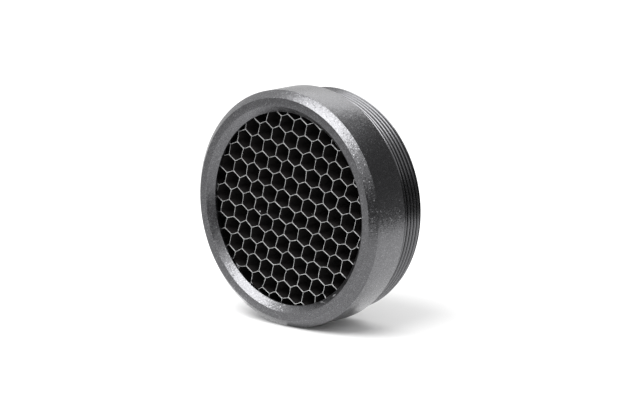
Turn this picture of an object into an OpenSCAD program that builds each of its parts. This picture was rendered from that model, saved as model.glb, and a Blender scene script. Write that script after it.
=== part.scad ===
// Screw-in honeycomb grid for a small light: a turned ring with a rear male thread that
// holds a disc of expanded foil honeycomb, pressed against its front lip by a slip washer
// and a threaded retaining ring.
// The bore axis runs along Y. The open front looks to -Y and the thread leaves to +Y.
// The origin is the centre of the shoulder that seats on the light.

/* [Honeycomb core] */
// Diameter that the honeycomb disc is cut to
core_d = 34.3; // [28:0.1:60]
// Width of one cell, from one bonded wall to the opposite one
cell = 3.0; // [2.4:0.05:5]
// Distance along a ribbon after which its folds repeat
fold_run = 4.98; // [4.2:0.02:8]
// Length of the flats where two ribbons are bonded
bond_len = 1.8; // [1.2:0.05:2]
// Thickness of the foil with its black coating
foil_t = 0.1; // [0.05:0.01:0.2]
// Direction that the ribbons run in, seen from the front
core_turn = -39.5; // [-90:0.5:90]
// Offset of a bond along the ribbons from the bore axis
bond_along = 0.43; // [-2:0.01:2]
// Offset of a bond across the ribbons from the bore axis
bond_across = 0.26; // [-1:0.01:1]

/* [Barrel] */
// Length from the front face to the shoulder
barrel_len = 7.9; // [6:0.1:20]
// Height of the shoulder above the thread crests
shoulder_h = 0.92; // [0.6:0.01:3]
// Bevel between the front face and the outside
outer_chamfer = 1.2; // [0.3:0.05:1.5]
// Bevel between the front face and the clear aperture
inner_chamfer = 1.1; // [0.3:0.05:1.3]
// Straight land between the inner bevel and the honeycomb
lip_land = 0.55; // [0.3:0.05:2]
// Radial cover of the lip over the rim of the honeycomb
lip_cover = 0.8; // [0.4:0.05:1.5]
// Break on the outer edge of the shoulder
edge_break = 0.15; // [0.05:0.01:0.4]
// Metal between the inner and outer thread roots
wall_t = 0.95; // [0.5:0.05:2]

/* [Mounting thread] */
// Length from the shoulder to the rear end
thread_len = 5.3; // [4:0.1:12]
// Pitch of the male thread
thread_pitch = 0.8; // [0.5:0.05:1.25]
// Height of the thread from root to crest
thread_h = 0.43; // [0.25:0.01:0.6]
// Plain undercut between the shoulder and the thread
relief_w = 1.02; // [0.6:0.02:2]
// Depth of the corner relief that keeps the seat clear of the thread crests
corner_depth = 0.15; // [0.1:0.01:0.4]

/* [Retaining ring] */
// Thickness of the threaded retaining ring
ring_t = 1.6; // [1:0.1:3]
// Depth of the ring inside the rear end
ring_recess = 1.15; // [0.6:0.05:2]
// Thickness of the slip washer between ring and honeycomb
washer_t = 0.4; // [0.2:0.05:1]
// Pitch of the ring's thread
ring_pitch = 0.75; // [0.5:0.05:1]
// Depth of the ring's thread in the barrel wall
ring_thread_h = 0.4; // [0.25:0.01:0.5]
// Width of the two spanner slots
slot_w = 1.2; // [0.8:0.1:2]
// Depth of the two spanner slots
slot_depth = 0.8; // [0.4:0.1:0.9]

/* [Fits] */
// Radial gap between the honeycomb and its seat
seat_gap = 0.05; // [0.02:0.01:0.15]
// Step in radius from the seat up to the ring's thread
seat_step = 0.1; // [0.05:0.01:0.3]
// Radial running gap of the ring and the washer
ring_gap = 0.09; // [0.03:0.01:0.1]
// Radial gap between the thread crests and the seat on the shoulder
crest_gap = 0.07; // [0.03:0.01:0.2]

/* [Hidden] */
// Radii, from the honeycomb outwards
core_r = core_d / 2;
seat_r = core_r + seat_gap;
aperture_r = core_r - lip_cover;
ring_bore_r = seat_r + seat_step;
ring_groove_r = ring_bore_r + ring_thread_h;
ring_r = ring_bore_r - ring_gap;
root_r = ring_groove_r + wall_t;
crest_r = root_r + thread_h;
barrel_r = crest_r + shoulder_h;

// Stations along Y, from the front face to the rear end
front_y = -barrel_len;
lip_y = front_y + inner_chamfer;
core_y = lip_y + lip_land;
rear_y = thread_len;
ring_y = rear_y - ring_recess - ring_t;
washer_y = ring_y - washer_t;
core_depth = washer_y - core_y;

// Male thread: flats of an eighth of the pitch on the crests and a quarter at the roots
crest_flat = thread_pitch / 8;
flank_w = (thread_pitch - crest_flat - thread_pitch / 4) / 2;
last_land = 0.1;
crests = 1 + floor((rear_y - last_land - relief_w - (thread_pitch + crest_flat) / 2) / thread_pitch);
last_crest_y = relief_w + (crests - 1) * thread_pitch + (thread_pitch + crest_flat) / 2;
lead_h = min(rear_y - last_crest_y, thread_h);

// Female thread behind the honeycomb: grooves counted forwards from the rear bevel
groove_flat = ring_pitch / 8;
groove_w = groove_flat + 2 * ring_thread_h * tan(30);
rear_bevel = ring_thread_h;
grooves = floor((rear_y - rear_bevel - washer_y) / ring_pitch);
function groove_y(i) = rear_y - rear_bevel - (i + 0.5) * ring_pitch;

// Ribbons: each folds between its two bond lines, a quarter of a cell either side of its middle
ribbon_pitch = cell / 2;
fold_h = cell / 4 - foil_t / 2;
fold_angle = atan2(2 * fold_h, fold_run / 2 - bond_len);
miter = foil_t / 2 * tan(fold_angle / 2);
least_reach = 0.5;
function ribbon_across(k) = bond_across + (k - 0.5) * ribbon_pitch;
function ribbon_along(k) = bond_along + k * fold_run / 2;
ribbon_span = ceil(core_r / ribbon_pitch) + 1;
RIBBONS = [
    for (k = [-ribbon_span : ribbon_span])
        if (abs(ribbon_across(k)) - cell / 4 < core_r - least_reach) k
];
function ribbon_name(i) = str("ribbon_", i < 9 ? "0" : "", i + 1);

$fn = 128;

// Turns a profile of [radius, y] points about the bore axis
module turned(profile)
    rotate([-90, 0, 0])
        rotate_extrude()
            polygon(profile);

// Extrudes a shape drawn as seen from the front, from y0 backwards
module along_bore(y0, depth)
    translate([0, y0 + depth, 0])
        rotate([90, 0, 0])
            linear_extrude(depth)
                children();

function male_crest(i) =
    let (y = relief_w + i * thread_pitch + thread_pitch / 2)
    [
        [root_r, y - crest_flat / 2 - flank_w],
        [crest_r, y - crest_flat / 2],
        [crest_r, y + crest_flat / 2],
        if (i < crests - 1) [root_r, y + crest_flat / 2 + flank_w]
    ];

function female_groove(y) = [
    [ring_bore_r, y + groove_w / 2],
    [ring_groove_r, y + groove_flat / 2],
    [ring_groove_r, y - groove_flat / 2],
    [ring_bore_r, y - groove_w / 2]
];

module barrel() {
    front = [
        [seat_r, core_y],
        [aperture_r, core_y],
        [aperture_r, lip_y],
        [aperture_r + inner_chamfer, front_y],
        [barrel_r - outer_chamfer, front_y],
        [barrel_r, front_y + outer_chamfer]
    ];
    shoulder = [
        [barrel_r, -edge_break],
        [barrel_r - edge_break, 0],
        [crest_r + crest_gap, 0],
        [crest_r + crest_gap, -corner_depth],
        [root_r, -corner_depth]
    ];
    rear = [
        [crest_r - lead_h, rear_y],
        [ring_bore_r + rear_bevel, rear_y],
        [ring_bore_r, rear_y - rear_bevel]
    ];
    seat = [
        [ring_bore_r, washer_y],
        [seat_r, washer_y]
    ];
    color("#4b4c4f")
        turned(concat(
            front,
            shoulder,
            [for (i = [0 : crests - 1]) each male_crest(i)],
            rear,
            [for (i = [0 : grooves - 1]) each female_groove(groove_y(i))],
            seat
        ));
}

// One side of a folded ribbon: side is 1 for its upper face and -1 for its lower face
function ribbon_side(along, side) = [
    for (i = [-ribbon_span : ribbon_span], top = [1, -1])
        let (
            middle = along + i * fold_run + (top == 1 ? 0 : fold_run / 2),
            half_flat = bond_len / 2 + side * top * miter,
            y = top * fold_h + side * foil_t / 2
        )
        each [[middle - half_flat, y], [middle + half_flat, y]]
];

function backwards(points) = [for (i = [len(points) - 1 : -1 : 0]) points[i]];

// Ribbon k fills the band between its two bond lines, cut to the round disc
module ribbon(k) {
    along = ribbon_along(k) - fold_run * round(ribbon_along(k) / fold_run);
    color("#1c1d1f")
        along_bore(core_y, core_depth)
            intersection() {
                rotate(core_turn)
                    translate([0, ribbon_across(k)])
                        polygon(concat(ribbon_side(along, 1), backwards(ribbon_side(along, -1))));
                circle(core_r);
            }
}

module slip_washer()
    color("#2a2b2d")
        turned([
            [aperture_r, washer_y],
            [ring_r, washer_y],
            [ring_r, ring_y],
            [aperture_r, ring_y]
        ]);

module retaining_ring() {
    bevel = ring_gap + edge_break;
    slot_reach = 2 * ring_r;
    color("#3a3b3d")
        difference() {
            turned([
                [aperture_r, ring_y],
                [ring_r - bevel, ring_y],
                [ring_r, ring_y + bevel],
                [ring_r, ring_y + ring_t - bevel],
                [ring_r - bevel, ring_y + ring_t],
                [aperture_r, ring_y + ring_t]
            ]);
            translate([-slot_reach, ring_y + ring_t - slot_depth, -slot_w / 2])
                cube([2 * slot_reach, 2 * slot_depth, slot_w]);
        }
}

barrel();
slip_washer();
retaining_ring();
for (i = [0 : len(RIBBONS) - 1])
    ribbon(RIBBONS[i]);
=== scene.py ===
"""Looks for a screw-in honeycomb grid: a turned ring, its foil honeycomb and its retaining ring.

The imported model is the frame: the bore axis runs along Y, the open front looks to -Y, the
male thread leaves to +Y and +Z is up. Every length below is in millimetres unless its name
says otherwise, and MM turns it into the metres that the frame uses.
"""

import logging
import math
import random
from dataclasses import dataclass, field
from enum import Enum

import bmesh
import bpy
from bmesh.types import BMesh, BMVert
from bpy.types import Material, Node, NodeSocket, NodeTree, Object
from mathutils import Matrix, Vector


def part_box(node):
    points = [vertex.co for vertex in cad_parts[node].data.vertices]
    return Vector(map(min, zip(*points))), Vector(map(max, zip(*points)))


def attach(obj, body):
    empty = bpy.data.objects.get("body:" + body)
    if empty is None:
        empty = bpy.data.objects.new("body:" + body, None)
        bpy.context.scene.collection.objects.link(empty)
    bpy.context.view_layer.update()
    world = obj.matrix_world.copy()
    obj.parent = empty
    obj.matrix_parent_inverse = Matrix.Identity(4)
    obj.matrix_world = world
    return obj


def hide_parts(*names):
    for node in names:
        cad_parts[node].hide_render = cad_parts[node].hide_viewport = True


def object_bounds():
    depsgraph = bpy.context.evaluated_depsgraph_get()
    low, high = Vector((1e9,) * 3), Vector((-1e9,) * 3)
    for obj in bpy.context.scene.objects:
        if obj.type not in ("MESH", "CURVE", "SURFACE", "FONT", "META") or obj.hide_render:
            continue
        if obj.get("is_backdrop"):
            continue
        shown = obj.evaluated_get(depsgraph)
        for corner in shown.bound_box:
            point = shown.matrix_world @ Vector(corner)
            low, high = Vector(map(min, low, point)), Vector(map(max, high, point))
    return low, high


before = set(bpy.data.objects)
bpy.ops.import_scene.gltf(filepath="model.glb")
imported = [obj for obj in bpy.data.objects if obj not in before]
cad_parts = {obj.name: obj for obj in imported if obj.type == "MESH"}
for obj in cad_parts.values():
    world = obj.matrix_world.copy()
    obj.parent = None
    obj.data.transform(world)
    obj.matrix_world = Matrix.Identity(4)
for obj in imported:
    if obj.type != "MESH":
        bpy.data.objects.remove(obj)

MM = 0.001
SEED = 7
LOG = logging.getLogger("grid")

# Points nearer than this are one point, and edges shorter than this are dropped.
MERGE_MM = 0.002
SHORTEST_EDGE_MM = 0.001
# Corners sharper than this keep a crease.
METAL_CREASE = math.radians(32)
FOIL_CREASE = math.radians(40)

Point2 = tuple[float, float]
Point3 = tuple[float, float, float]


# --------------------------------------------------------------------------- small helpers


def linear_rgba(hex_code: str) -> tuple[float, float, float, float]:
    """Turns an sRGB hex code into the linear colour that a shader socket takes.

    Args:
        hex_code: Six hex digits, with or without a leading #.

    Returns:
        Linear red, green, blue and an alpha of one.
    """
    digits = hex_code.lstrip("#")
    channels = [int(digits[i : i + 2], 16) / 255 for i in (0, 2, 4)]
    linear = [c / 12.92 if c <= 0.04045 else ((c + 0.055) / 1.055) ** 2.4 for c in channels]
    return (linear[0], linear[1], linear[2], 1.0)


def add_node(
    tree: NodeTree,
    kind: str,
    settings: dict[str, object] | None = None,
    inputs: dict[str | int, object] | None = None,
) -> Node:
    """Adds one shader node with its settings, its input values and its incoming links.

    Args:
        tree: The node tree that takes the node.
        kind: The node's Blender type name.
        settings: Attributes to set on the node itself.
        inputs: Input sockets by name or index. Each takes a plain value, another node's
            output, or another node, which stands for its first output.

    Returns:
        The new node.
    """
    node = tree.nodes.new(kind)
    for name, value in (settings or {}).items():
        setattr(node, name, value)
    for key, value in (inputs or {}).items():
        if isinstance(value, Node):
            value = value.outputs[0]
        if isinstance(value, NodeSocket):
            tree.links.new(value, node.inputs[key])
        else:
            node.inputs[key].default_value = value
    return node


def add_object(name: str, data: bpy.types.ID) -> Object:
    """Puts new data into the scene as an object.

    Args:
        name: The object's name.
        data: Its mesh, light or camera.

    Returns:
        The object.
    """
    obj = bpy.data.objects.new(name, data)
    bpy.context.scene.collection.objects.link(obj)
    return obj


def add_mesh(name: str, bm: BMesh) -> Object:
    """Turns a built mesh into an object in the scene and frees what it was built in.

    Args:
        name: The name of the object and its mesh.
        bm: The built mesh.

    Returns:
        The object.
    """
    mesh = bpy.data.meshes.new(name)
    bm.to_mesh(mesh)
    bm.free()
    return add_object(name, mesh)


# --------------------------------------------------------------------------- finishes


class Slot(Enum):
    """The record's material slots."""

    BARREL = "anodised_barrel"
    WASHER = "washer_steel"
    RING = "anodised_ring"
    FOIL = "coated_foil"


@dataclass(frozen=True)
class Finish:
    """A procedural finish.

    Attributes:
        name: The material's name.
    """

    name: str

    def build(self) -> Material:
        """Makes the material.

        Returns:
            The finished material.
        """
        material = bpy.data.materials.new(self.name)
        material.use_nodes = True
        tree = material.node_tree
        tree.nodes.clear()
        add_node(tree, "ShaderNodeOutputMaterial", inputs={"Surface": self.shader(tree)})
        return material

    def shader(self, tree: NodeTree) -> Node:
        """Adds the finish's own nodes.

        Args:
            tree: The material's empty node tree.

        Returns:
            The node whose first output is the surface.
        """
        raise NotImplementedError


@dataclass(frozen=True)
class Pattern:
    """What a finish varies over its surface.

    Attributes:
        share: How much of the second colour shows.
        patches: What makes the roughness uneven.
        height: What the bump follows.
    """

    share: Node
    patches: Node
    height: Node


@dataclass(frozen=True)
class PatternedFinish(Finish):
    """A finish of two colours with an uneven roughness and a fine bump.

    Attributes:
        name: The material's name.
        colour: Its main colour.
        second_colour: Its colour where it is worn, thin or burred.
        roughness: Its mean roughness.
        spread: How far the roughness strays from that, either way.
        metallic: One for bare metal.
        shine: Its specular level.
        bump: Strength of the bump.
        bump_mm: Height of the bump.
    """

    colour: str
    second_colour: str
    roughness: float
    spread: float = 0.0
    metallic: float = 1.0
    shine: float = 0.5
    bump: float = 0.5
    bump_mm: float = 0.002

    def pattern(self, tree: NodeTree, place: NodeSocket) -> Pattern:
        """Adds the nodes that draw the pattern.

        Args:
            tree: The material's node tree.
            place: The point on the piece, in metres.

        Returns:
            The pattern.
        """
        raise NotImplementedError

    def shader(self, tree: NodeTree) -> Node:
        """Adds the pattern and the shader that it feeds.

        Args:
            tree: The material's empty node tree.

        Returns:
            The shader node.
        """
        place = add_node(tree, "ShaderNodeTexCoord").outputs["Object"]
        pattern = self.pattern(tree, place)
        colour = add_node(
            tree, "ShaderNodeMix", {"data_type": "RGBA"},
            {
                "Factor": pattern.share,
                6: linear_rgba(self.colour),
                7: linear_rgba(self.second_colour),
            },
        )
        roughness: float | Node = self.roughness
        if self.spread:
            roughness = add_node(
                tree, "ShaderNodeMapRange",
                inputs={
                    "Value": pattern.patches, "From Min": 0.3, "From Max": 0.7,
                    "To Min": self.roughness - self.spread,
                    "To Max": self.roughness + self.spread,
                },
            )
        bump = add_node(
            tree, "ShaderNodeBump",
            inputs={
                "Strength": self.bump, "Distance": self.bump_mm * MM, "Height": pattern.height,
            },
        )
        return add_node(
            tree, "ShaderNodeBsdfPrincipled",
            inputs={
                "Base Color": colour.outputs[2], "Metallic": self.metallic,
                "Roughness": roughness, "Specular IOR Level": self.shine, "Normal": bump,
            },
        )


@dataclass(frozen=True)
class BlastedAnodisedAluminium(Finish):
    """Aluminium bead-blasted and then anodised grey: a satin metal that sparkles in small grains.

    The beads leave dimples, drawn here a seventh of a millimetre wide so that they show. Each
    tips the surface its own way, so a highlight breaks up into bright and dark specks where it
    fades. The anodising wears a little lighter on sharp edges. The thread was masked from the
    blast, so it is smoother, with fine tool lines. Its grooves are painted darker towards their
    base: painted shade for the shade that falls in them, with a little dark residue.
    """

    name: str = "bead_blasted_anodised_aluminium"
    colour: str = "#6c6c6e"
    worn_colour: str = "#a8a8ab"
    # Painted shade in the thread's grooves, with a little dark residue.
    groove_shade_and_residue_colour: str = "#242425"
    roughness: float = 0.3
    spread: float = 0.06
    turned_roughness: float = 0.24
    dimple_mm: float = 0.15
    dimple_stray: float = 0.14
    tilt: float = 0.12
    steep_rarity: float = 8.0
    steep_tilt: float = 0.5
    sparkle: float = 0.7
    tool_line_mm: float = 0.12
    tool_line_depth_mm: float = 0.002

    def shader(self, tree: NodeTree) -> Node:
        """Adds the dimples, the wear, the painted shade in the grooves and the tool lines.

        Args:
            tree: The material's empty node tree.

        Returns:
            The shader node.
        """
        place = add_node(tree, "ShaderNodeTexCoord").outputs["Object"]
        turned, edge, groove = (
            add_node(tree, "ShaderNodeAttribute", {"attribute_name": weight}).outputs["Fac"]
            for weight in ("turned", "edge", "groove")
        )
        dimples, facets = (
            add_node(
                tree, "ShaderNodeTexVoronoi",
                inputs={"Vector": place, "Scale": 1 / (share * self.dimple_mm * MM)},
            ).outputs["Color"]
            for share in (1.0, 0.8)
        )
        grain = add_node(
            tree, "ShaderNodeTexNoise",
            inputs={"Vector": place, "Scale": 1 / (0.6 * self.dimple_mm * MM), "Detail": 2.0},
        )
        speck = add_node(tree, "ShaderNodeSeparateColor", inputs={0: dimples})
        blasted = add_node(tree, "ShaderNodeMath", {"operation": "SUBTRACT"}, {0: 1.0, 1: turned})
        stray = add_node(
            tree, "ShaderNodeMapRange",
            inputs={
                "Value": speck, "To Min": -self.dimple_stray, "To Max": self.dimple_stray,
            },
        )
        # Most dimples are shallow. A few are steep and bare of dye, and those sparkle.
        steep = add_node(
            tree, "ShaderNodeMath", {"operation": "POWER"},
            {0: speck.outputs[2], 1: self.steep_rarity},
        )
        bare = add_node(
            tree, "ShaderNodeMath", {"operation": "MULTIPLY_ADD"},
            {0: steep, 1: self.sparkle, 2: stray},
        )
        tone = add_node(
            tree, "ShaderNodeMath", {"operation": "MULTIPLY_ADD"}, {0: bare, 1: blasted, 2: 1.0}
        )
        nicks = add_node(
            tree, "ShaderNodeMapRange", inputs={"Value": grain, "From Min": 0.45, "From Max": 0.7}
        )
        wear = add_node(tree, "ShaderNodeMath", {"operation": "MULTIPLY"}, {0: edge, 1: nicks})
        worn = add_node(
            tree, "ShaderNodeMix", {"data_type": "RGBA"},
            {"Factor": wear, 6: linear_rgba(self.colour), 7: linear_rgba(self.worn_colour)},
        )
        # Painted shade: the grooves' colour darkens towards their base, standing in for the shade
        # that falls in them, with a little residue.
        groove_residue_and_shade = add_node(
            tree, "ShaderNodeMix", {"data_type": "RGBA"},
            {"Factor": groove, 6: worn.outputs[2], 7: linear_rgba(self.groove_shade_and_residue_colour)},
        )
        colour = add_node(
            tree, "ShaderNodeVectorMath", {"operation": "SCALE"},
            {0: groove_residue_and_shade.outputs[2], "Scale": tone.outputs[0]},
        )
        roughness = add_node(
            tree, "ShaderNodeMapRange",
            inputs={
                "Value": grain, "From Min": 0.3, "From Max": 0.7,
                "To Min": self.roughness - self.spread, "To Max": self.roughness + self.spread,
            },
        )
        smoother = add_node(
            tree, "ShaderNodeMath", {"operation": "MULTIPLY_ADD"},
            {0: turned, 1: self.turned_roughness - self.roughness, 2: roughness},
        )
        tilt = add_node(
            tree, "ShaderNodeMath", {"operation": "MULTIPLY_ADD"},
            {0: steep, 1: self.steep_tilt, 2: self.tilt},
        )
        tilt_here = add_node(
            tree, "ShaderNodeMath", {"operation": "MULTIPLY"}, {0: tilt, 1: blasted}
        )
        aside = add_node(
            tree, "ShaderNodeVectorMath", {"operation": "SUBTRACT"},
            {0: facets, 1: (0.5, 0.5, 0.5)},
        )
        lean = add_node(
            tree, "ShaderNodeVectorMath", {"operation": "SCALE"}, {0: aside, "Scale": tilt_here}
        )
        normal = add_node(tree, "ShaderNodeNewGeometry").outputs["Normal"]
        leant = add_node(
            tree, "ShaderNodeVectorMath", {"operation": "ADD"}, {0: normal, 1: lean}
        )
        peened = add_node(tree, "ShaderNodeVectorMath", {"operation": "NORMALIZE"}, {0: leant})
        split = add_node(tree, "ShaderNodeSeparateXYZ", inputs={0: place})
        phase = add_node(
            tree, "ShaderNodeMath", {"operation": "MULTIPLY"},
            {0: split.outputs["Y"], 1: math.tau / (self.tool_line_mm * MM)},
        )
        lines = add_node(tree, "ShaderNodeMath", {"operation": "SINE"}, {0: phase})
        lathe = add_node(
            tree, "ShaderNodeBump",
            inputs={
                "Strength": 0.25, "Distance": self.tool_line_depth_mm * MM,
                "Height": lines, "Normal": peened,
            },
        )
        return add_node(
            tree, "ShaderNodeBsdfPrincipled",
            inputs={
                "Base Color": colour, "Metallic": 1.0, "Roughness": smoother, "Normal": lathe,
            },
        )


@dataclass(frozen=True)
class TurnedAnodisedAluminium(PatternedFinish):
    """Aluminium turned on a lathe and anodised black: satin, with concentric tool lines."""

    name: str = "turned_black_anodised_aluminium"
    colour: str = "#3c3d40"
    second_colour: str = "#8b8c8f"
    roughness: float = 0.34
    spread: float = 0.06
    bump: float = 0.3
    tool_line_mm: float = 0.1
    patch_mm: float = 0.8

    def pattern(self, tree: NodeTree, place: NodeSocket) -> Pattern:
        """Adds tool lines round the axis and wear on the edges.

        Args:
            tree: The material's node tree.
            place: The point on the piece, in metres.

        Returns:
            The pattern.
        """
        split = add_node(tree, "ShaderNodeSeparateXYZ", inputs={0: place})
        flat = add_node(
            tree, "ShaderNodeCombineXYZ", inputs={0: split.outputs["X"], 2: split.outputs["Z"]}
        )
        radius = add_node(tree, "ShaderNodeVectorMath", {"operation": "LENGTH"}, {0: flat})
        along = add_node(
            tree, "ShaderNodeMath", {"operation": "ADD"},
            {0: radius.outputs["Value"], 1: split.outputs["Y"]},
        )
        phase = add_node(
            tree, "ShaderNodeMath", {"operation": "MULTIPLY"},
            {0: along, 1: math.tau / (self.tool_line_mm * MM)},
        )
        lines = add_node(tree, "ShaderNodeMath", {"operation": "SINE"}, {0: phase})
        patches = add_node(
            tree, "ShaderNodeTexNoise",
            inputs={"Vector": place, "Scale": 1 / (self.patch_mm * MM), "Detail": 4.0},
        )
        edge = add_node(tree, "ShaderNodeAttribute", {"attribute_name": "edge"}).outputs["Fac"]
        wear = add_node(tree, "ShaderNodeMath", {"operation": "MULTIPLY"}, {0: edge, 1: patches})
        return Pattern(wear, patches, lines)


@dataclass(frozen=True)
class BlackenedSpringSteel(PatternedFinish):
    """Spring steel strip, stamped and chemically blackened: dark, smooth, rolled grain."""

    name: str = "blackened_spring_steel"
    colour: str = "#2b2b2d"
    second_colour: str = "#77777a"
    roughness: float = 0.38
    spread: float = 0.08
    bump: float = 0.2
    grain_mm: float = 0.15

    def pattern(self, tree: NodeTree, place: NodeSocket) -> Pattern:
        """Adds a rolled grain, stretched along X, and wear on the edges.

        Args:
            tree: The material's node tree.
            place: The point on the piece, in metres.

        Returns:
            The pattern.
        """
        stretch = add_node(
            tree, "ShaderNodeMapping", inputs={"Vector": place, "Scale": (0.08, 1.0, 1.0)}
        )
        grain = add_node(
            tree, "ShaderNodeTexNoise",
            inputs={"Vector": stretch, "Scale": 1 / (self.grain_mm * MM), "Detail": 3.0},
        )
        edge = add_node(tree, "ShaderNodeAttribute", {"attribute_name": "edge"}).outputs["Fac"]
        wear = add_node(tree, "ShaderNodeMath", {"operation": "MULTIPLY"}, {0: edge, 1: grain})
        return Pattern(wear, grain, grain)


@dataclass(frozen=True)
class CoatedFoil(PatternedFinish):
    """Aluminium foil dipped in matt black paint: nearly no shine, with faint runs and dust."""

    name: str = "matt_black_coated_foil"
    colour: str = "#1b1919"
    second_colour: str = "#262322"
    roughness: float = 0.7
    spread: float = 0.1
    metallic: float = 0.0
    shine: float = 0.2
    bump: float = 0.4
    bump_mm: float = 0.01
    run_mm: float = 0.9
    dust_mm: float = 0.12

    def pattern(self, tree: NodeTree, place: NodeSocket) -> Pattern:
        """Adds runs, which thin the paint between them, and dust.

        Args:
            tree: The material's node tree.
            place: The point on the piece, in metres.

        Returns:
            The pattern.
        """
        runs, dust = (
            add_node(
                tree, "ShaderNodeTexNoise",
                inputs={"Vector": place, "Scale": 1 / (size * MM), "Detail": detail},
            )
            for size, detail in ((self.run_mm, 4.0), (self.dust_mm, 1.0))
        )
        thin = add_node(
            tree, "ShaderNodeMapRange", inputs={"Value": runs, "From Min": 0.5, "From Max": 0.8}
        )
        return Pattern(thin, runs, dust)


@dataclass(frozen=True)
class CutFoilEdge(PatternedFinish):
    """The foil's sawn edge: bare aluminium, dull where it smeared and bright where it burred."""

    name: str = "bare_cut_aluminium_edge"
    colour: str = "#b4b5b7"
    second_colour: str = "#eceded"
    roughness: float = 0.4
    bump_mm: float = 0.01
    burr_mm: float = 0.7

    def pattern(self, tree: NodeTree, place: NodeSocket) -> Pattern:
        """Adds the burrs.

        Args:
            tree: The material's node tree.
            place: The point on the piece, in metres.

        Returns:
            The pattern.
        """
        burrs = add_node(
            tree, "ShaderNodeTexNoise",
            inputs={"Vector": place, "Scale": 1 / (self.burr_mm * MM), "Detail": 3.0},
        )
        bright = add_node(
            tree, "ShaderNodeMapRange", inputs={"Value": burrs, "From Min": 0.3, "From Max": 0.56}
        )
        return Pattern(bright, burrs, burrs)


@dataclass(frozen=True)
class PaleFloor(Finish):
    """A pale matt studio floor."""

    name: str = "pale_floor"
    colour: str = "#f0f0f0"
    roughness: float = 0.9

    def shader(self, tree: NodeTree) -> Node:
        """Adds a plain matt shader.

        Args:
            tree: The material's empty node tree.

        Returns:
            The shader node.
        """
        return add_node(
            tree, "ShaderNodeBsdfPrincipled",
            inputs={"Base Color": linear_rgba(self.colour), "Roughness": self.roughness},
        )


@dataclass(frozen=True)
class CardFace(Finish):
    """The face of a card: an even tone that reflections pick up.

    Attributes:
        name: The material's name.
        glow: How bright it looks.
    """

    glow: float

    def shader(self, tree: NodeTree) -> Node:
        """Adds an even glow.

        Args:
            tree: The material's empty node tree.

        Returns:
            The shader node.
        """
        return add_node(tree, "ShaderNodeEmission", inputs={"Strength": self.glow})


# --------------------------------------------------------------------------- turned shapes


@dataclass(frozen=True)
class ScrewThread:
    """A right-handed screw thread on a cylinder about the Y axis, with round tips.

    Attributes:
        pitch: Advance in one turn.
        base_r: Radius between the thread's turns.
        tip_r: Radius at the thread's flat tip.
        start_y: Front end.
        end_y: Rear end.
        run_out: Length over which the thread rises from nothing at its front end.
        lead: Bevel that thins the thread at its rear end.
        base_share: Share of the pitch that is flat at base_r.
        tip_share: Share of the pitch that is flat at tip_r.
        step_share: Share of the pitch between points of the profile, about.
    """

    pitch: float
    base_r: float
    tip_r: float
    start_y: float
    end_y: float
    run_out: float = 0.35
    lead: float = 0.2
    base_share: float = 0.25
    tip_share: float = 0.125
    step_share: float = 0.07

    def steps(self) -> list[float]:
        """Places within one pitch where the profile takes a point.

        Returns:
            Each place as a share of the pitch, in order.
        """
        base = self.base_share
        flank = (1 - base - self.tip_share) / 2
        marks = [0.0, base / 2, base / 2 + flank, 0.5, 1 - base / 2 - flank, 1 - base / 2]
        steps = []
        for mark, following in zip(marks, marks[1:] + [1.0]):
            pieces = max(1, round((following - mark) / self.step_share))
            steps += [mark + (following - mark) * i / pieces for i in range(pieces)]
        return steps

    def radius(self, y: float, share: float) -> float:
        """Radius of the thread's surface.

        Args:
            y: Place along the axis.
            share: Place within the pitch, from 0 at the middle of a base flat.

        Returns:
            The radius in millimetres, thinned by the run-out and the lead bevel.
        """
        share %= 1.0
        from_base = min(share, 1 - share)
        flank = (1 - self.base_share - self.tip_share) / 2
        rise = min(max((from_base - self.base_share / 2) / flank, 0.0), 1.0)
        # Blasting and handling round the tips over, while the tool leaves the base sharp.
        height = (self.tip_r - self.base_r) * (1 - (1 - rise) ** 2)
        limit_front = abs(self.tip_r - self.base_r) * (y - self.start_y) / self.run_out
        limit_rear = abs(self.tip_r - self.base_r) - self.lead + (self.end_y - y)
        cap = max(0.0, min(limit_front, limit_rear))
        return self.base_r + math.copysign(min(abs(height), cap), self.tip_r - self.base_r)

    def column(self, angle: float) -> list[Point2]:
        """Points of the thread's outline at one angle, from front to rear.

        Args:
            angle: Angle from +X towards +Z, in radians.

        Returns:
            Radius and Y of each point. Every angle gives the same number of points.
        """
        turn = angle / math.tau
        turns = math.ceil((self.end_y - self.start_y) / self.pitch) + 1
        points = []
        for i in range(-1, turns + 1):
            for step in self.steps():
                y = self.start_y + (i + step - turn) * self.pitch + self.pitch
                y = min(max(y, self.start_y), self.end_y)
                share = (y - self.start_y) / self.pitch + turn
                points.append((self.radius(y, share), y))
        return points


@dataclass(frozen=True)
class Corner:
    """A corner of a turned outline, rounded to a small radius.

    Attributes:
        r: Radius from the axis.
        y: Place along the axis.
        round_r: Radius of the rounding, zero for a sharp corner.
    """

    r: float
    y: float
    round_r: float = 0.0


def rounded_outline(corners: list[Corner], steps: int = 3) -> list[tuple[Point2, float]]:
    """Rounds the corners of an open outline with short arcs.

    Args:
        corners: The outline's corners in order. The first and last stay sharp.
        steps: Segments in each arc.

    Returns:
        Each point with its edge weight: up to one on a rounded corner and zero elsewhere.
    """
    points: list[tuple[Point2, float]] = [((corners[0].r, corners[0].y), 0.0)]
    for before, corner, after in zip(corners, corners[1:], corners[2:]):
        here = Vector((corner.r, corner.y))
        back = Vector((before.r, before.y)) - here
        ahead = Vector((after.r, after.y)) - here
        if corner.round_r <= 0:
            points.append(((corner.r, corner.y), 0.0))
            continue
        half = back.angle(ahead) / 2
        reach = min(corner.round_r / math.tan(half), 0.45 * back.length, 0.45 * ahead.length)
        first = here + back.normalized() * reach
        last = here + ahead.normalized() * reach
        # A quadratic curve through the corner's tangents is the arc to within its own width.
        for i in range(steps + 1):
            t = i / steps
            p = (1 - t) ** 2 * first + 2 * t * (1 - t) * here + t**2 * last
            points.append(((p.x, p.y), math.sin(math.pi * t)))
    points.append(((corners[-1].r, corners[-1].y), 0.0))
    return points


Station = tuple[float, float, float, float, float]


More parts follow.
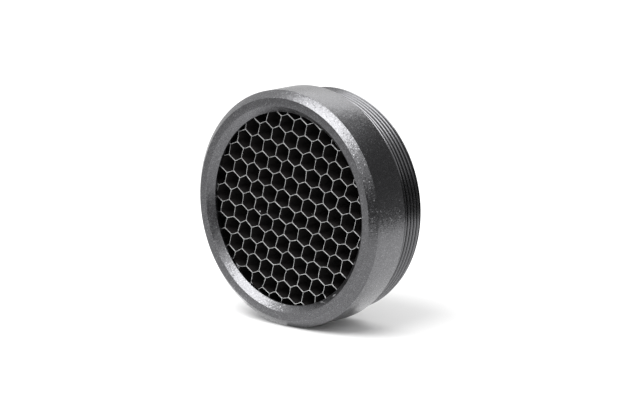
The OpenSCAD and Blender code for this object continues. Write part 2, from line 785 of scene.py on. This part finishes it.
@dataclass
class TurnedRing:
    """A closed ring turned about the Y axis, made column by column so that threads can run on it.

    Attributes:
        name: The piece's name.
        zones: Plain outlines and threads in order round the ring's section.
        masked: Places along the axis between which the outside was kept from the blast.
        columns: Columns round the ring.
        crest_wear: Edge weight on a thread's crests.
    """

    name: str
    zones: list[list[tuple[Point2, float]] | tuple[ScrewThread, bool]]
    masked: Point2 = (0.0, 0.0)
    columns: int = 360
    crest_wear: float = 0.25

    def section(self, angle: float) -> list[Station]:
        """The ring's closed section at one angle.

        Args:
            angle: Angle from +X towards +Z, in radians.

        Returns:
            Radius, Y, edge weight, turned weight and groove weight of each point.
        """
        stations: list[Station] = []
        for zone in self.zones:
            if isinstance(zone, tuple):
                thread, backwards = zone
                points = thread.column(angle)
                if backwards:
                    points = points[::-1]
                for r, y in points:
                    height = abs(r - thread.base_r) / abs(thread.tip_r - thread.base_r)
                    crest = 1 - height if backwards else height
                    stations.append((r, y, self.crest_wear * crest, 1.0, 1 - crest))
            else:
                for (r, y), edge in zone:
                    bare = self.masked[0] < y < self.masked[1]
                    stations.append((r, y, edge, float(bare), 0.0))
        return stations

    def build(self) -> Object:
        """Builds the ring's mesh.

        Returns:
            The object, in metres, with edge, turned and groove weights on its points.
        """
        bm = bmesh.new()
        weight_names = ("edge", "turned", "groove")
        for name in weight_names:
            bm.verts.layers.float.new(name)
        layers = [bm.verts.layers.float[name] for name in weight_names]
        rings = []
        for i in range(self.columns):
            angle = math.tau * i / self.columns
            ring = []
            for r, y, *weights in self.section(angle):
                vertex = bm.verts.new(
                    (r * math.cos(angle) * MM, y * MM, r * math.sin(angle) * MM)
                )
                for layer, weight in zip(layers, weights):
                    vertex[layer] = weight
                ring.append(vertex)
            rings.append(ring)
        self.skin(bm, rings)
        bmesh.ops.remove_doubles(bm, verts=bm.verts, dist=MERGE_MM * MM)
        bmesh.ops.dissolve_degenerate(bm, dist=SHORTEST_EDGE_MM * MM, edges=bm.edges)
        bmesh.ops.recalc_face_normals(bm, faces=bm.faces)
        obj = add_mesh(self.name, bm)
        obj.data.shade_smooth()
        obj.data.set_sharp_from_angle(angle=METAL_CREASE)
        return obj

    def skin(self, bm: BMesh, rings: list[list[BMVert]]) -> None:
        """Joins neighbouring columns with faces.

        Args:
            bm: The mesh being built.
            rings: One closed column of points for each angle.
        """
        shift = self.thread_shift()
        for i, ring in enumerate(rings):
            last = i == len(rings) - 1
            following = rings[0] if last else rings[i + 1]
            count = len(ring)
            for j in range(count):
                k = (j + 1) % count
                a, b = ring[j], ring[k]
                if last:
                    c, d = following[shift[k]], following[shift[j]]
                else:
                    c, d = following[k], following[j]
                corners = [v for n, v in enumerate((a, b, c, d)) if v not in (a, b, c, d)[:n]]
                if len(corners) > 2:
                    bm.faces.new(corners)

    def thread_shift(self) -> list[int]:
        """Where each point of the last column finds its neighbour in the first column.

        A thread advances one pitch in a turn, so its points meet those one pitch further on.

        Returns:
            The index in the first column for each index in the last one.
        """
        shift: list[int] = []
        for zone in self.zones:
            start = len(shift)
            if isinstance(zone, tuple):
                thread, backwards = zone
                count = len(thread.column(0.0))
                step = len(thread.steps())
                move = step if backwards else -step
                shift += [start + min(max(n + move, 0), count - 1) for n in range(count)]
            else:
                shift += [start + n for n in range(len(zone))]
        return shift


# --------------------------------------------------------------------------- the barrel


@dataclass
class Barrel:
    """The turned barrel: front lip with two bevels, smooth outside, shoulder and two threads.

    The outside radius and the two ends come from the frame.
    """

    outer_bevel: float = 1.2
    inner_bevel: float = 1.1
    aperture_r: float = 16.35
    lip_land: float = 0.55
    seat_r: float = 17.2
    ring_bore_r: float = 17.3
    ring_groove_r: float = 17.7
    root_r: float = 18.65
    crest_r: float = 19.08
    seat_edge_r: float = 19.15
    corner_depth: float = 0.15
    relief_w: float = 1.02
    lead: float = 0.2
    edge_break: float = 0.15
    rear_bevel: float = 0.4
    pitch: float = 0.8
    ring_pitch: float = 0.75
    edge_round: float = 0.06
    outer_r: float = field(init=False)
    front_y: float = field(init=False)
    rear_y: float = field(init=False)
    washer_y: float = field(init=False)

    def __post_init__(self) -> None:
        """Reads the driving sizes from the frame."""
        low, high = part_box("barrel")
        self.outer_r = high.z / MM
        self.front_y = low.y / MM
        self.rear_y = high.y / MM
        self.washer_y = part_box("slip_washer")[0].y / MM

    @property
    def core_y(self) -> float:
        """Y of the plane where the honeycomb meets the lip."""
        return self.front_y + self.inner_bevel + self.lip_land

    def male_thread(self) -> ScrewThread:
        """The thread that screws into the light."""
        return ScrewThread(
            self.pitch, self.root_r, self.crest_r, self.relief_w, self.rear_y,
            lead=self.lead, base_share=0.08, tip_share=0.04,
        )

    def female_thread(self) -> ScrewThread:
        """The thread that takes the retaining ring, cut outwards from its bore."""
        return ScrewThread(
            self.ring_pitch, self.ring_bore_r, self.ring_groove_r,
            self.washer_y, self.rear_y - self.rear_bevel, run_out=0.5, lead=0.0,
        )

    def build(self, finish: Material) -> Object:
        """Builds the barrel and stands it in for its node.

        Args:
            finish: The barrel's material.

        Returns:
            The barrel.
        """
        e = self.edge_round
        front = rounded_outline([
            Corner(self.seat_r, self.washer_y),
            Corner(self.seat_r, self.core_y),
            Corner(self.aperture_r, self.core_y, 0.04),
            Corner(self.aperture_r, self.front_y + self.inner_bevel, e),
            Corner(self.aperture_r + self.inner_bevel, self.front_y, e),
            Corner(self.outer_r - self.outer_bevel, self.front_y, e),
            Corner(self.outer_r, self.front_y + self.outer_bevel, e),
            Corner(self.outer_r, -self.edge_break, 0.05),
            Corner(self.outer_r - self.edge_break, 0.0, 0.05),
            Corner(self.seat_edge_r, 0.0, 0.03),
            Corner(self.seat_edge_r, -self.corner_depth, 0.05),
            Corner(self.root_r, -self.corner_depth, 0.1),
            Corner(self.root_r, self.relief_w),
        ])
        rear = rounded_outline([
            Corner(self.crest_r - self.lead, self.rear_y),
            Corner(self.ring_bore_r + self.rear_bevel, self.rear_y, 0.05),
            Corner(self.ring_bore_r, self.rear_y - self.rear_bevel),
        ])[1:]
        ring = TurnedRing(
            "barrel_turned",
            [front, (self.male_thread(), False), rear, (self.female_thread(), True)],
            masked=(-self.corner_depth / 2, self.rear_y + 1),
        )
        barrel = ring.build()
        barrel.data.materials.append(finish)
        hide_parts("barrel")
        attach(barrel, "body")
        return barrel


# --------------------------------------------------------------------------- washer and ring


@dataclass
class Retainer:
    """The slip washer and the threaded ring that press the honeycomb against the lip."""

    bore_r: float = 16.35
    thread_gap: float = 0.09
    thread_land: float = 0.15
    edge_round: float = 0.08
    slot_w: float = 1.2
    slot_depth: float = 0.8
    columns: int = 300

    def build_washer(self, finish: Material) -> Object:
        """Builds the stamped washer with its rolled-over edge.

        Args:
            finish: The washer's material.

        Returns:
            The washer.
        """
        low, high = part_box("slip_washer")
        outer, inner = high.x / MM, self.bore_r
        y0, y1 = low.y / MM, high.y / MM
        outline = rounded_outline([
            Corner((inner + outer) / 2, y0),
            Corner(outer, y0, 0.03),
            Corner(outer, y1, 0.1),
            Corner(inner, y1, 0.1),
            Corner(inner, y0, 0.03),
            Corner((inner + outer) / 2, y0),
        ])[:-1]
        washer = TurnedRing("slip_washer_stamped", [outline], columns=self.columns).build()
        washer.data.materials.append(finish)
        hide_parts("slip_washer")
        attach(washer, "washer")
        return washer

    def build_ring(self, barrel: Barrel, finish: Material) -> Object:
        """Builds the threaded ring, which meshes with the barrel's female thread.

        Args:
            barrel: The barrel, for its thread.
            finish: The ring's material.

        Returns:
            The ring.
        """
        low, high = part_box("retaining_ring")
        body_r, inner = high.x / MM, self.bore_r
        y0, y1 = low.y / MM, high.y / MM
        tip_r = barrel.ring_groove_r - self.thread_gap
        # The ring's thread starts a whole number of turns behind the barrel's, so they mesh.
        turns = math.ceil((y0 + self.thread_land - barrel.washer_y) / barrel.ring_pitch)
        start_y = barrel.washer_y + turns * barrel.ring_pitch
        end_y = y1 - self.thread_land
        thread = ScrewThread(
            barrel.ring_pitch, body_r, tip_r, start_y, end_y,
            run_out=0.3, lead=0.2, base_share=0.42, tip_share=0.08,
        )
        front = rounded_outline([
            Corner(inner, (y0 + y1) / 2),
            Corner(inner, y0, self.edge_round),
            Corner(body_r, y0, self.edge_round),
            Corner(body_r, start_y),
        ])
        rear = rounded_outline([
            Corner(body_r, end_y),
            Corner(body_r, y1, self.edge_round),
            Corner(inner, y1, self.edge_round),
            Corner(inner, (y0 + y1) / 2),
        ])[:-1]
        zones = [front, (thread, False), rear]
        piece = TurnedRing("retaining_ring_threaded", zones, columns=self.columns).build()
        self.cut_slots(piece, body_r, y1)
        piece.data.materials.append(finish)
        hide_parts("retaining_ring")
        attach(piece, "ring")
        return piece

    def cut_slots(self, ring: Object, body_r: float, rear_y: float) -> None:
        """Cuts the two spanner slots across the ring's rear face.

        Args:
            ring: The ring.
            body_r: Its outside radius.
            rear_y: Y of its rear face.
        """
        bpy.ops.mesh.primitive_cube_add(size=1)
        cutter = bpy.context.object
        cutter.scale = (4 * body_r * MM, 2 * self.slot_depth * MM, self.slot_w * MM)
        cutter.location = (0, rear_y * MM, 0)
        cut = ring.modifiers.new("slots", "BOOLEAN")
        cut.operation = "DIFFERENCE"
        cut.solver = "EXACT"
        cut.object = cutter
        bpy.context.view_layer.update()
        graph = bpy.context.evaluated_depsgraph_get()
        mesh = bpy.data.meshes.new_from_object(ring.evaluated_get(graph))
        ring.modifiers.clear()
        ring.data = mesh
        bpy.data.objects.remove(cutter)
        mesh.set_sharp_from_angle(angle=METAL_CREASE)


# --------------------------------------------------------------------------- the honeycomb


@dataclass(frozen=True)
class Bond:
    """Where two ribbons are glued: the middle, half length and tilt of their shared flat."""

    along: float
    across: float
    half: float
    tilt: float

    def end(self, side: int, lift: float) -> Vector:
        """One end of the flat.

        Args:
            side: Minus one for the end where along is least, one for the other.
            lift: Offset across the flat.

        Returns:
            The end's place in the ribbons' own plane.
        """
        c, s = math.cos(self.tilt), math.sin(self.tilt)
        return Vector((
            self.along + side * self.half * c - lift * s,
            self.across + side * self.half * s + lift * c,
        ))


@dataclass(frozen=True)
class Sliver:
    """A curl of torn foil bent out over the lip.

    Attributes:
        start: One end in the frame.
        end: The other end.
        bow: How far its middle rises above the line between its ends.
        wide: Its width at the middle.
    """

    start: Point3
    end: Point3
    bow: float
    wide: float


@dataclass
class Honeycomb:
    """The disc of expanded foil: folded ribbons, each glued to the next along its flats.

    A real core isn't even: the flats lean, the cells stray by a tenth of a millimetre, and
    the rim is bent where the disc was pressed into its seat.
    """

    cell: float = 3.0
    fold_run: float = 4.98
    bond_len: float = 1.8
    foil_t: float = 0.045
    bonded_t: float = 0.062
    burr: float = 0.015
    run_angle: float = math.radians(-39.5)
    bond_along: float = 0.43
    bond_across: float = 0.26
    lean: float = math.radians(5.8)
    lean_stray: float = math.radians(2.5)
    stray: float = 0.07
    length_stray: float = 0.03
    fold_round: float = 0.12
    foil_bow: float = 0.035
    depth_shares: tuple[float, ...] = (0.0, 0.02, 0.06, 0.15, 0.35, 0.65, 1.0)
    dent: Point2 = (7.6, -15.0)
    dent_r: float = 2.3
    dent_depth: float = 1.6
    core_r: float = 17.15
    shortest_run: float = 0.4
    least_reach: float = 0.5
    flake_share: float = 0.003
    flake_sizes: Point2 = (0.14, 0.24)
    burrs: tuple[Point3, ...] = (
        (-4.45, 6.16, 0.34), (-6.5, -1.35, 0.3), (-10.4, 8.0, 0.2), (5.1, -0.25, 0.24),
        (-3.7, -3.35, 0.24), (13.1, 3.2, 0.2),
    )
    slivers: tuple[Sliver, ...] = (
        Sliver((7.75, -7.1, -14.66), (9.0, -7.58, -14.5), 0.12, 0.24),
        Sliver((10.75, -7.49, -13.16), (11.45, -7.56, -12.66), 0.04, 0.2),
    )
    front_y: float = field(init=False)
    depth: float = field(init=False)
    bonds: dict[tuple[int, int], Bond] = field(default_factory=dict)
    chance: random.Random = field(default_factory=lambda: random.Random(SEED))

    def bond(self, line: int, index: int) -> Bond:
        """The flat at one place of one bond line, made once and shared by both ribbons.

        Args:
            line: The bond line.
            index: The flat along that line.

        Returns:
            The flat, with its own small errors.
        """
        key = (line, index)
        if key not in self.bonds:
            chance = random.Random(SEED * 7919 + line * 101 + index)
            along = self.bond_along + (line % 2) * self.fold_run / 2 + index * self.fold_run
            across = self.bond_across + line * self.cell / 2
            self.bonds[key] = Bond(
                along + chance.gauss(0, self.stray),
                across + chance.gauss(0, self.stray * 0.6),
                self.bond_len / 2 * (1 + chance.gauss(0, self.length_stray)),
                self.lean + chance.gauss(0, self.lean_stray),
            )
        return self.bonds[key]

    def centre_line(self, k: int) -> list[Vector]:
        """The folded middle line of one ribbon.

        Args:
            k: The ribbon, which folds between bond lines k - 1 and k.

        Returns:
            Its points from one side of the disc to the other. Each is along, across and the
            foil's half thickness there, which is more on the flats because of the glue.
        """
        lift = self.bonded_t / 2
        span = math.ceil(self.core_r / self.fold_run) + 2
        flats = []
        for index in range(-span, span + 1):
            flats.append((self.bond(k, index), -lift))
            flats.append((self.bond(k - 1, index), lift))
        flats.sort(key=lambda pair: pair[0].along)
        line: list[Vector] = []
        for flat, following in zip(flats, flats[1:]):
            start, end = flat[0].end(-1, flat[1]), flat[0].end(1, flat[1])
            ahead = following[0].end(-1, following[1])
            line += self.curved(start, end, self.bonded_t / 2, 3)
            line += self.curved(end, ahead, self.foil_t / 2, 5)
        return line

    def curved(self, start: Vector, end: Vector, half: float, pieces: int) -> list[Vector]:
        """Points along one wall, kept clear of its folds so that they come out rounded.

        Args:
            start: Where the wall starts.
            end: Where it ends.
            half: The foil's half thickness.
            pieces: Segments in the wall. One of more than three is free and bows a little.

        Returns:
            The wall's points: along, across and half thickness.
        """
        step = end - start
        keep = self.fold_round / step.length
        across = Vector((-step.y, step.x)).normalized()
        bow = self.chance.gauss(0, self.foil_bow) if pieces > 3 else 0.0
        points = []
        for i in range(pieces + 1):
            share = i / pieces
            t = keep + (1 - 2 * keep) * share
            p = start + step * t + across * bow * math.sin(math.pi * share)
            points.append(Vector((p.x, p.y, half)))
        return points

    def runs(self, line: list[Vector]) -> list[list[Vector]]:
        """Cuts a middle line to the round disc.

        Args:
            line: The middle line of a ribbon.

        Returns:
            The stretches that lie inside the disc.
        """
        found: list[list[Vector]] = []
        run: list[Vector] = []
        for a, b in zip(line, line[1:]):
            step = b - a
            flat_a, flat_step = a.xy, step.xy
            # Where the segment crosses the rim, from |a + t * step| = core_r.
            qa = flat_step.dot(flat_step)
            qb = 2 * flat_a.dot(flat_step)
            root = qb * qb - 4 * qa * (flat_a.dot(flat_a) - self.core_r**2)
            if root <= 0:
                continue
            t0 = max(0.0, (-qb - math.sqrt(root)) / (2 * qa))
            t1 = min(1.0, (-qb + math.sqrt(root)) / (2 * qa))
            if t1 - t0 < 1e-6:
                continue
            if not run:
                run = [a + step * t0]
            run.append(a + step * t1)
            if t1 < 1.0:
                found.append(run)
                run = []
        if run:
            found.append(run)
        return [
            r for r in found
            if sum((q - p).length for p, q in zip(r, r[1:])) > self.shortest_run
        ]

    def to_frame(self, p: Vector, depth: float) -> Vector:
        """Turns a point of the ribbons' plane into the frame, in metres.

        Near the dent the foil's front is pushed over, and the push dies away with depth.

        Args:
            p: Along and across the ribbons.
            depth: Distance behind the front cut.

        Returns:
            The point in the frame.
        """
        c, s = math.cos(self.run_angle), math.sin(self.run_angle)
        x, z = p.x * c - p.y * s, p.x * s + p.y * c
        near = Vector((x - self.dent[0], z - self.dent[1]))
        push = max(0.0, 1 - near.length / self.dent_r) ** 1.5
        push *= max(0.0, 1 - depth / self.dent_depth)
        # The waves crumple the walls, so they aren't pushed over evenly.
        x += push * (0.55 * math.sin(4.1 * z + 1.0) - 0.45)
        z += push * (0.45 * math.sin(3.7 * x) + 0.7)
        y = self.front_y + depth + push * 0.25
        return Vector((x * MM, y * MM, z * MM))

    def add_run(self, bm: BMesh, run: list[Vector]) -> None:
        """Adds one stretch of foil as a closed strip.

        Args:
            bm: The mesh being built.
            run: The stretch's middle line with its half thickness.
        """
        flat = [p.xy for p in run]
        normals = []
        for before, here, after in zip([flat[0]] + flat, flat, flat[1:] + [flat[-1]]):
            steps = [v.normalized() for v in (here - before, after - here) if v.length > 1e-9]
            tangent = sum(steps, Vector((0.0, 0.0))).normalized()
            spread = 1 / max(0.5, tangent.dot(steps[0]))
            normals.append(Vector((-tangent.y, tangent.x)) * spread)
        burrs = [[abs(self.chance.gauss(0, self.burr)) for _ in run] for _ in range(2)]
        rows = []
        for share in self.depth_shares:
            depth = share * self.depth
            # The saw smears the foil's edge sideways by a hair.
            smear = 1.0 if share == 0.0 else 0.0
            left = [
                bm.verts.new(self.to_frame(c + n * (p.z + smear * b), depth))
                for c, n, p, b in zip(flat, normals, run, burrs[0])
            ]
            right = [
                bm.verts.new(self.to_frame(c - n * (p.z + smear * b), depth))
                for c, n, p, b in zip(flat, normals, run, burrs[1])
            ]
            rows.append((left, right))
        for (left0, right0), (left1, right1) in zip(rows, rows[1:]):
            for i in range(len(run) - 1):
                bm.faces.new((left0[i], left0[i + 1], left1[i + 1], left1[i]))
                bm.faces.new((right0[i + 1], right0[i], right1[i], right1[i + 1]))
            bm.faces.new((right0[0], left0[0], left1[0], right1[0]))
            bm.faces.new((left0[-1], right0[-1], right1[-1], left1[-1]))
        for (left, right), front in ((rows[0], True), (rows[-1], False)):
            for i in range(len(run) - 1):
                face = (right[i], right[i + 1], left[i + 1], left[i])
                cut = bm.faces.new(face if front else face[::-1])
                cut.material_index = 1

    def ribbon_place(self, x: float, z: float) -> Vector:
        """Turns a place seen from the front into one along and across the ribbons."""
        c, s = math.cos(self.run_angle), math.sin(self.run_angle)
        return Vector((x * c + z * s, z * c - x * s))

    def ribbon_at(self, x: float, z: float) -> int:
        """The ribbon that covers a place, counted like the bond line on its far side."""
        return math.ceil((self.ribbon_place(x, z).y - self.bond_across) * 2 / self.cell)

    def add_flake(self, bm: BMesh, p: Vector, size: float) -> None:
        """Adds a flake of bright metal that the saw left standing on the front cut.

        Args:
            bm: The mesh being built.
            p: Where it stands, along and across the ribbons.
            size: How wide it is.
        """
        base = []
        for i in range(3):
            turn = math.tau * (i / 3 + self.chance.uniform(-0.1, 0.1))
            foot = p.xy + Vector((math.cos(turn), math.sin(turn))) * size * 0.5
            base.append(bm.verts.new(self.to_frame(foot, 0.02)))
        tip = p.xy + Vector((self.chance.uniform(-1, 1), self.chance.uniform(-1, 1))) * size * 0.5
        peak = bm.verts.new(self.to_frame(tip, -size * 0.7))
        for face in (base, *([base[i - 2], base[i], peak] for i in range(3))):
            bm.faces.new(face).material_index = 1

    def add_sliver(self, bm: BMesh, sliver: Sliver) -> None:
        """Adds a curl of torn foil.

        Args:
            bm: The mesh being built.
            sliver: The curl.
        """
        steps = 6
        start, end = Vector(sliver.start), Vector(sliver.end)
        sections = []
        for i in range(steps + 1):
            t = i / steps
            middle = start.lerp(end, t) + Vector((0, 0, sliver.bow * math.sin(math.pi * t)))
            half = sliver.wide / 2 * math.sin(math.pi * (0.1 + 0.8 * t))
            corners = (
                Vector((0, -0.6, 0.8)) * half,
                Vector((0, 0.6, -0.8)) * half,
                Vector((0, 0.04, 0.03)),
            )
            sections.append([bm.verts.new((middle + corner) * MM) for corner in corners])
        faces = [sections[0], sections[-1][::-1]]
        for a, b in zip(sections, sections[1:]):
            faces += [(a[i], a[i - 1], b[i - 1], b[i]) for i in range(3)]
        for face in faces:
            bm.faces.new(face).material_index = 1

    def build(self, coating: Material, cut: Material) -> None:
        """Builds every ribbon and stands each in for its own node.

        Args:
            coating: The foil's material on its faces.
            cut: The material of its cut edges.
        """
        names = sorted(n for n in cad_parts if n.startswith("ribbon_"))
        low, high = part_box(names[0])
        self.front_y = low.y / MM
        self.depth = (high.y - low.y) / MM
        reach = self.core_r - self.least_reach + self.cell / 4 + self.bond_across
        first = 1 - math.ceil(reach * 2 / self.cell - 0.5)
        for n, name in enumerate(names):
            bm = bmesh.new()
            for run in self.runs(self.centre_line(first + n)):
                self.add_run(bm, run)
                for p in run:
                    if self.chance.random() < self.flake_share:
                        self.add_flake(bm, p, self.chance.uniform(*self.flake_sizes))
            for x, z, size in self.burrs:
                if self.ribbon_at(x, z) == first + n:
                    self.add_flake(bm, self.ribbon_place(x, z), size)
            for sliver in self.slivers:
                if self.ribbon_at(sliver.start[0], sliver.start[2]) == first + n:
                    self.add_sliver(bm, sliver)
            bmesh.ops.recalc_face_normals(bm, faces=bm.faces)
            piece = add_mesh(f"{name}_foil", bm)
            mesh = piece.data
            mesh.shade_smooth()
            mesh.set_sharp_from_angle(angle=FOIL_CREASE)
            mesh.materials.append(coating)
            mesh.materials.append(cut)
            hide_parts(name)
            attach(piece, "body")
            LOG.info("%s: %d faces", piece.name, len(mesh.polygons))


# --------------------------------------------------------------------------- the studio


@dataclass
class Softbox:
    """A soft light that points at the object.

    Attributes:
        name: The light's name.
        azimuth: Direction of the light from the object, in degrees: 0 is in front, 90 at +X.
        elevation: Height above the horizon, in degrees.
        distance_m: Distance from the object.
        wide_m: Width of its face.
        tall_m: Height of its face.
        power_w: Power.
    """

    name: str
    azimuth: float
    elevation: float
    distance_m: float
    wide_m: float
    tall_m: float
    power_w: float

    def build(self, aim: Vector) -> Object:
        """Makes the light.

        Args:
            aim: The point that it faces.

        Returns:
            The light object.
        """
        data = bpy.data.lights.new(self.name, "AREA")
        data.shape = "RECTANGLE"
        data.size = self.wide_m
        data.size_y = self.tall_m
        data.energy = self.power_w
        light = add_object(self.name, data)
        way = direction(self.azimuth, self.elevation)
        light.location = aim + way * self.distance_m
        light.rotation_mode = "QUATERNION"
        light.rotation_quaternion = (-way).to_track_quat("-Z", "Y")
        light.visible_camera = False
        return light


def direction(azimuth: float, elevation: float) -> Vector:
    """A unit vector from the object, with azimuth 0 in front of it and 90 at its +X side.

    Args:
        azimuth: Degrees round Z.
        elevation: Degrees above the horizon.

    Returns:
        The unit vector.
    """
    a, e = math.radians(azimuth), math.radians(elevation)
    return Vector((math.sin(a) * math.cos(e), -math.cos(a) * math.cos(e), math.sin(e)))


@dataclass
class FlagCard:
    """A matt card that stands or lies by the object and shows only in the metal's reflections.

    Attributes:
        name: The card's name.
        azimuths: Its first and last azimuth, in degrees.
        near: Distance from the bore axis and height of its near or lower edge.
        far: Distance and height of its far or upper edge.
        glow: How bright it looks beside the floor, which is near one.
        steps: Flat strips that make up its curve.
    """

    name: str
    azimuths: tuple[float, float]
    near: Point2
    far: Point2
    glow: float
    steps: int = 24

    def build(self) -> None:
        """Makes the card as a curved sheet round the object."""
        first, last = self.azimuths
        bm = bmesh.new()
        rows = []
        for away, height in (self.near, self.far):
            row = []
            for i in range(self.steps + 1):
                way = direction(first + (last - first) * i / self.steps, 0)
                row.append(bm.verts.new((away * way + Vector((0, 0, height))) * MM))
            rows.append(row)
        for i in range(self.steps):
            bm.faces.new((rows[0][i], rows[0][i + 1], rows[1][i + 1], rows[1][i]))
        card = add_mesh(self.name, bm)
        card.data.materials.append(CardFace(f"{self.name}_face", self.glow).build())
        card.visible_camera = False
        card.visible_diffuse = False
        card.visible_shadow = False
        card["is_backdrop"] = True


LIGHTS = (
    Softbox("key", -6, 57, 0.6, 0.56, 0.32, 3.35),
    Softbox("rim", 203, 40, 0.6, 0.35, 0.3, 0.45),
)
CARDS = (
    FlagCard("flag_front", (12, 110), (90, -20), (90, 28), 0.06),
    FlagCard("flag_back", (100, 184), (90, -20), (90, 94), 0.14),
    FlagCard("flag_rear", (184, 205), (90, -20), (90, 36), 0.1),
    FlagCard("flag_side", (58, 100), (91, 28), (91, 100), 0.25),
    FlagCard("flag_high", (100, 184), (89, 94), (60, 125), 0.6),
    FlagCard("flag_left", (-95, 12), (150, -20), (150, 40), 0.5),
    FlagCard("card_low", (0, 99), (12, -19.9), (149, -19.9), 1.05),
    FlagCard("card_fore", (-100, 0), (3, -19.9), (149, -19.9), 1.05),
    FlagCard("card_left", (-85, -46), (14, -19.85), (27, -19.85), 1.9),
    FlagCard("card_near", (-46, -5), (14, -19.85), (27, -19.85), 1.15),
    FlagCard("card_back", (100, 259), (9, -19.9), (149, -19.9), 1.35),
)


@dataclass
class Studio:
    """The pale floor, the soft lights and the camera."""

    azimuth: float = 42.04
    elevation: float = 11.51
    distance_m: float = 0.5277
    lens_mm: float = 184.4
    sensor_mm: float = 36.0
    aside_mm: float = 4.58
    above_mm: float = 0.58
    clip_m: Point2 = (0.01, 20.0)
    floor_m: float = 3.0
    world_colour: str = "#ffffff"
    world_strength: float = 1.0

    def place_camera(self, front: Vector) -> None:
        """Stands the camera off the middle of the front face.

        Args:
            front: The middle of the front face.
        """
        data = bpy.data.cameras.new("camera")
        data.lens = self.lens_mm
        data.sensor_width = self.sensor_mm
        data.clip_start, data.clip_end = self.clip_m
        camera = add_object("camera", data)
        way = direction(self.azimuth, self.elevation)
        right = Vector((0, 0, 1)).cross(way).normalized()
        up = way.cross(right)
        aim = front + right * self.aside_mm * MM + up * self.above_mm * MM
        camera.location = front + way * self.distance_m
        camera.rotation_mode = "QUATERNION"
        camera.rotation_quaternion = (aim - camera.location).to_track_quat("-Z", "Y")
        bpy.context.scene.camera = camera

    def lay_floor(self, height: float) -> None:
        """Lays the floor under the object.

        Args:
            height: Z of the floor.
        """
        bpy.ops.mesh.primitive_plane_add(size=self.floor_m, location=(0, 0, height))
        floor = bpy.context.object
        floor.name = "floor"
        floor.data.materials.append(PaleFloor().build())
        floor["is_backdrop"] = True

    def light(self, aim: Vector) -> None:
        """Sets the world and the soft lights.

        Args:
            aim: The middle of the object.
        """
        bpy.context.scene.view_settings.view_transform = "Standard"
        world = bpy.data.worlds.new("studio")
        bpy.context.scene.world = world
        world.use_nodes = True
        world.node_tree.nodes.clear()
        sky = add_node(
            world.node_tree,
            "ShaderNodeBackground",
            inputs={"Color": linear_rgba(self.world_colour), "Strength": self.world_strength},
        )
        add_node(world.node_tree, "ShaderNodeOutputWorld", inputs={"Surface": sky.outputs[0]})
        for softbox in LIGHTS:
            softbox.build(aim)
        for card in CARDS:
            card.build()


def main() -> None:
    """Builds the object's pieces in order, then the studio."""
    logging.basicConfig(level=logging.INFO, format="%(name)s %(message)s")
    cad_low, cad_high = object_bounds()

    barrel = Barrel()
    studio = Studio()
    studio.place_camera(Vector((0, barrel.front_y * MM, 0)))
    blasted = BlastedAnodisedAluminium().build()
    piece = barrel.build(blasted)
    LOG.info("%s: %d faces", piece.name, len(piece.data.polygons))

    retainer = Retainer()
    for piece in (
        retainer.build_washer(BlackenedSpringSteel().build()),
        retainer.build_ring(barrel, TurnedAnodisedAluminium().build()),
    ):
        LOG.info("%s: %d faces", piece.name, len(piece.data.polygons))

    Honeycomb().build(CoatedFoil().build(), CutFoilEdge().build())

    studio.lay_floor(cad_low.z)
    studio.light((cad_low + cad_high) / 2)


if __name__ == "__main__":
    main()
